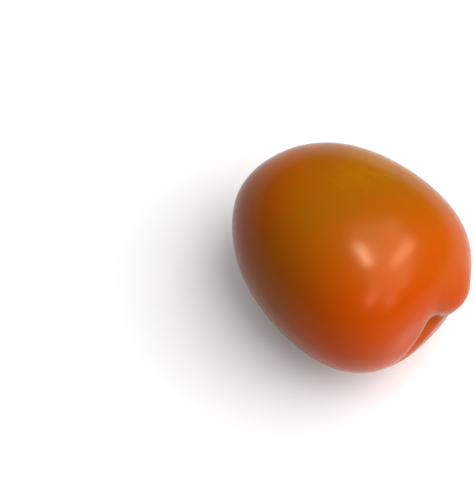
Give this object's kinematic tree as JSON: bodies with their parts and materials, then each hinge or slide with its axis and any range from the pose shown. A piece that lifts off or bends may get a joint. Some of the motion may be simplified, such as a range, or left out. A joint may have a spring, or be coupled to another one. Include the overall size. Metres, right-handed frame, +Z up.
{
  "type": "plum tomato",
  "caption": "Egg-shaped plum tomato with a lobed, cleft blossom end and a small stalk scar, lying on its side on a small flat spot.",
  "frame": {"origin": "middle of the underside of the bounding box, on the surface that the fruit rests on", "axes": "+X from the stem end towards the blossom end, +Z up, -Y towards the side that the picture shows"},
  "size_m": [0.0674, 0.056, 0.0546],
  "materials": {
    "tomato_skin": "smooth waxy skin, half ripe: orange-red at the blossom end, olive-green to brown at the stem end"
  },
  "bodies": {
    "root": {"fruit": "tomato_skin"}
  },
  "joints": []
}
